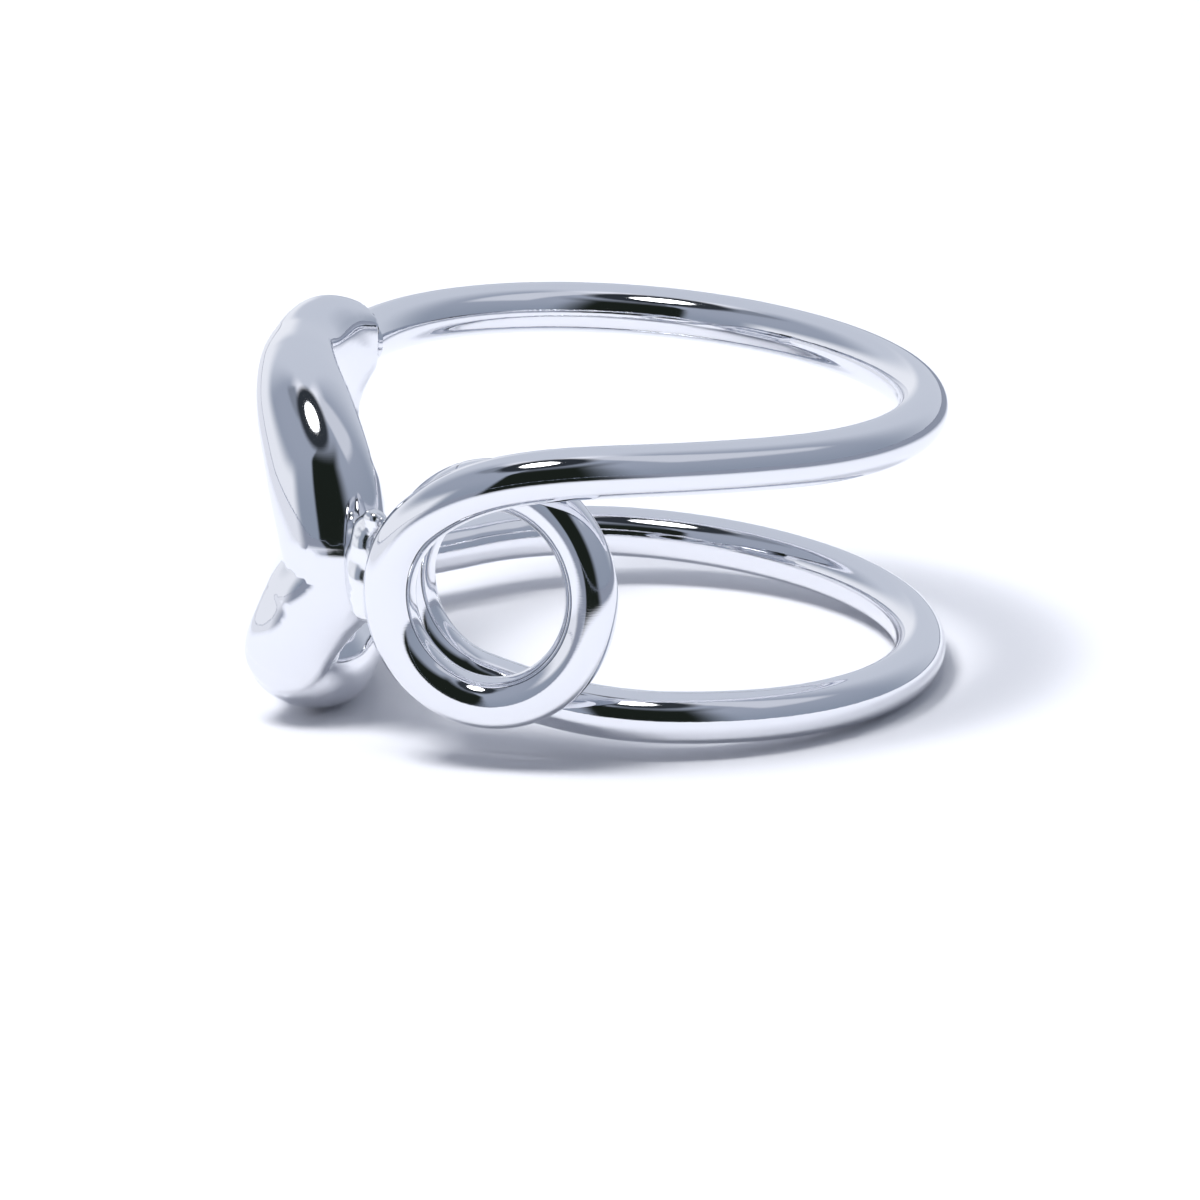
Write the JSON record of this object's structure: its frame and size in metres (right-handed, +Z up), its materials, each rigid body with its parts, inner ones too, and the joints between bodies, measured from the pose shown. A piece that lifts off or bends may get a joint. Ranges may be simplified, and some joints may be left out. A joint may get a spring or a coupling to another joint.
{
  "type": "safety-pin finger ring",
  "caption": "Open finger ring in the form of a closed safety pin: round wire makes both bands and the coil at the front, and a cast clasp head at the side holds the pin's point.",
  "frame": {"origin": "on the surface that the ring stands on, under the middle of the whole ring", "axes": "+Z up along the finger bore, -Y towards the coil, -X towards the clasp head"},
  "size_m": [0.0218, 0.0214, 0.0116],
  "materials": {
    "silver_wire": "mirror-polished silver",
    "silver_cast": "polished cast silver",
    "silver_solder": "silver solder, slightly rough"
  },
  "bodies": {
    "ring": {"clasp_head": "silver_cast", "upper_arm": "silver_wire", "coil_front_turn": "silver_wire", "coil_return_turn": "silver_wire", "head_coil_solder": "silver_solder"},
    "pin": {"pin_arm": "silver_wire"}
  },
  "joints": [
    {"name": "pin_open", "type": "hinge", "parent": "ring", "child": "pin", "pos_m": [-0.00565, -0.00642, 0.00538], "axis": [0, 0, 1], "range_deg": [0, 22], "stiffness_Nm_per_rad": 0.5, "springref_deg": -2.86, "deforming": ["coil_return_turn"]}
  ]
}
